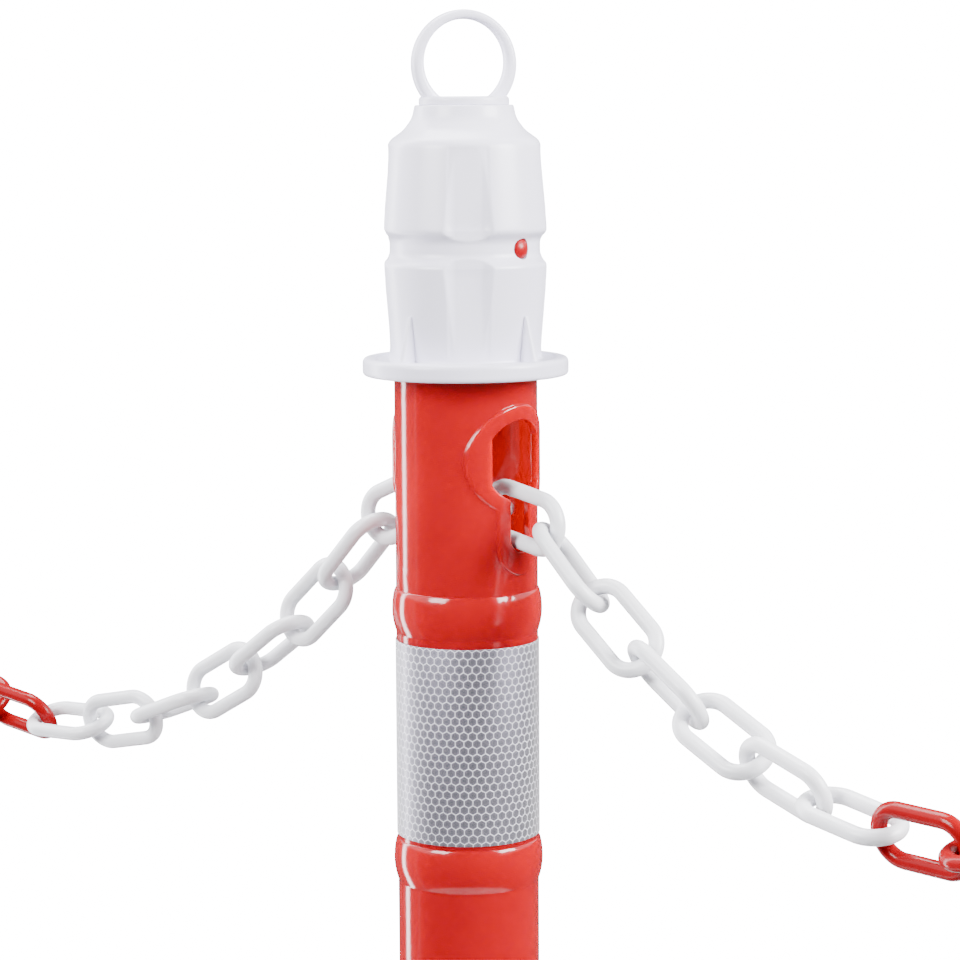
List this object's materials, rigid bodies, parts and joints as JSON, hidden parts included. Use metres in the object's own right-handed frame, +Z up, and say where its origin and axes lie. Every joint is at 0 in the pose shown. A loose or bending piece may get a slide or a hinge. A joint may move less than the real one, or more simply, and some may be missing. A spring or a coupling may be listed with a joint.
{
  "type": "chain barrier post",
  "caption": "Free-standing round post with reflective bands, a fluted cap with a lifting ring, a rubber base, and a plastic chain threaded through two keyholes.",
  "frame": {"origin": "centre of the post's foot, on the floor", "axes": "+Z up the post, +X and -X out through the two keyholes, the side in the picture is towards +X and -Y"},
  "size_m": [0.7541, 0.38, 1.0003],
  "materials": {
    "red_tube": "smooth moulded, glossy",
    "red_button": "smooth moulded",
    "white_cap": "satin moulded",
    "white_chain": "satin moulded",
    "red_chain": "satin moulded",
    "reflective_film": "honeycomb reflective film",
    "black_rubber": "matt recycled rubber",
    "spring_steel": "bright strip"
  },
  "bodies": {
    "post": {"post_tube": "red_tube", "upper_reflective_band": "reflective_film", "lower_reflective_band": "reflective_film", "cap_shell": "white_cap", "lifting_ring": "white_cap", "button_spring": "spring_steel", "chain_link_middle": "white_chain"},
    "base": {"rubber_base": "black_rubber"},
    "button_right": {"lock_button_right": "red_button"},
    "button_left": {"lock_button_left": "red_button"},
    "link_right_1": {"chain_link_right_1": "white_chain"},
    "link_right_2": {"chain_link_right_2": "white_chain"},
    "link_right_3": {"chain_link_right_3": "white_chain"},
    "link_right_4": {"chain_link_right_4": "white_chain"},
    "link_right_5": {"chain_link_right_5": "white_chain"},
    "link_right_6": {"chain_link_right_6": "white_chain"},
    "link_right_7": {"chain_link_right_7": "white_chain"},
    "link_right_8": {"chain_link_right_8": "red_chain"},
    "link_right_9": {"chain_link_right_9": "red_chain"},
    "link_left_1": {"chain_link_left_1": "white_chain"},
    "link_left_2": {"chain_link_left_2": "white_chain"},
    "link_left_3": {"chain_link_left_3": "white_chain"},
    "link_left_4": {"chain_link_left_4": "white_chain"},
    "link_left_5": {"chain_link_left_5": "white_chain"},
    "link_left_6": {"chain_link_left_6": "white_chain"},
    "link_left_7": {"chain_link_left_7": "white_chain"},
    "link_left_8": {"chain_link_left_8": "white_chain"},
    "link_left_9": {"chain_link_left_9": "red_chain"},
    "link_left_10": {"chain_link_left_10": "red_chain"}
  },
  "joints": [
    {"name": "base_lift", "type": "slide", "parent": "post", "child": "base", "axis": [0, 0, 1], "range_m": [0, 0.18]},
    {"name": "button_press_right", "type": "slide", "parent": "post", "child": "button_right", "axis": [-1, 0, 0], "range_m": [0, 0.0055], "stiffness_N_per_m": 600, "deforming": ["button_spring"]},
    {"name": "button_press_left", "type": "slide", "parent": "post", "child": "button_left", "axis": [1, 0, 0], "range_m": [0, 0.0055], "stiffness_N_per_m": 600, "deforming": ["button_spring"]},
    {"name": "link_right_1_hook_lift", "type": "hinge", "parent": "post", "child": "link_right_1", "pos_m": [0.02606, 0.00108, 0.75159], "axis": [-0.0958, -0.9954, 0], "range_deg": [0, 30]},
    {"name": "link_right_2_swing", "type": "hinge", "parent": "link_right_1", "child": "link_right_2", "pos_m": [0.05034, -0.00126, 0.74773], "axis": [0.0958, 0.9954, 0], "range_deg": [-30, 40]},
    {"name": "link_right_3_swing", "type": "hinge", "parent": "link_right_2", "child": "link_right_3", "pos_m": [0.09043, -0.00512, 0.71221], "axis": [-0.1914, 0.9289, -0.317], "range_deg": [-60, 60]},
    {"name": "link_right_4_swing", "type": "hinge", "parent": "link_right_3", "child": "link_right_4", "pos_m": [0.12344, -0.0083, 0.68777], "axis": [-0.5341, -0.5391, -0.6513], "range_deg": [-60, 60]},
    {"name": "link_right_5_swing", "type": "hinge", "parent": "link_right_4", "child": "link_right_5", "pos_m": [0.15873, -0.01169, 0.66678], "axis": [-0.3268, 0.6772, -0.6592], "range_deg": [-60, 60]},
    {"name": "link_right_6_swing", "type": "hinge", "parent": "link_right_5", "child": "link_right_6", "pos_m": [0.19617, -0.0153, 0.64997], "axis": [-0.3163, -0.7823, -0.5366], "range_deg": [-60, 60]},
    {"name": "link_right_7_swing", "type": "hinge", "parent": "link_right_6", "child": "link_right_7", "pos_m": [0.23543, -0.01908, 0.63805], "axis": [-0.2309, 0.3986, -0.8876], "range_deg": [-60, 60]},
    {"name": "link_right_8_swing", "type": "hinge", "parent": "link_right_7", "child": "link_right_8", "pos_m": [0.27595, -0.02298, 0.63166], "axis": [0.1212, 0.9777, 0.1715], "range_deg": [-60, 60]},
    {"name": "link_right_9_swing", "type": "hinge", "parent": "link_right_8", "child": "link_right_9", "pos_m": [0.31695, -0.02693, 0.63117], "axis": [0.0116, 0.2419, -0.9702], "range_deg": [-60, 60]},
    {"name": "link_left_1_hook_lift", "type": "hinge", "parent": "post", "child": "link_left_1", "pos_m": [-0.0316, 0.00055, 0.75371], "axis": [-0.0958, 0.9954, 0], "range_deg": [0, 30]},
    {"name": "link_left_2_swing", "type": "hinge", "parent": "link_left_1", "child": "link_left_2", "pos_m": [-0.05406, -0.00161, 0.74366], "axis": [0.0958, -0.9954, 0], "range_deg": [-30, 40]},
    {"name": "link_left_3_swing", "type": "hinge", "parent": "link_left_2", "child": "link_left_3", "pos_m": [-0.09009, -0.00508, 0.704], "axis": [0.0333, 0.9926, -0.117], "range_deg": [-60, 60]},
    {"name": "link_left_4_swing", "type": "hinge", "parent": "link_left_3", "child": "link_left_4", "pos_m": [-0.12029, -0.00799, 0.67612], "axis": [0.68, -0.109, -0.7251], "range_deg": [-60, 60]},
    {"name": "link_left_5_swing", "type": "hinge", "parent": "link_left_4", "child": "link_left_5", "pos_m": [-0.15322, -0.01116, 0.65157], "axis": [0.0086, 0.9902, -0.1395], "range_deg": [-60, 60]},
    {"name": "link_left_6_swing", "type": "hinge", "parent": "link_left_5", "child": "link_left_6", "pos_m": [-0.18893, -0.0146, 0.6313], "axis": [0.4982, -0.0918, -0.8622], "range_deg": [-60, 60]},
    {"name": "link_left_7_swing", "type": "hinge", "parent": "link_left_6", "child": "link_left_7", "pos_m": [-0.22716, -0.01828, 0.6164], "axis": [0.0705, -0.9954, 0.065], "range_deg": [-60, 60]},
    {"name": "link_left_8_swing", "type": "hinge", "parent": "link_left_7", "child": "link_left_8", "pos_m": [-0.26728, -0.02215, 0.60789], "axis": [0.1762, 0.26, -0.9494], "range_deg": [-60, 60]},
    {"name": "link_left_9_swing", "type": "hinge", "parent": "link_left_8", "child": "link_left_9", "pos_m": [-0.30827, -0.02609, 0.60649], "axis": [0.1016, -0.9343, -0.3418], "range_deg": [-60, 60]},
    {"name": "link_left_10_swing", "type": "hinge", "parent": "link_left_9", "child": "link_left_10", "pos_m": [-0.34887, -0.03, 0.61232], "axis": [-0.1701, 0.501, -0.8485], "range_deg": [-60, 60]}
  ]
}
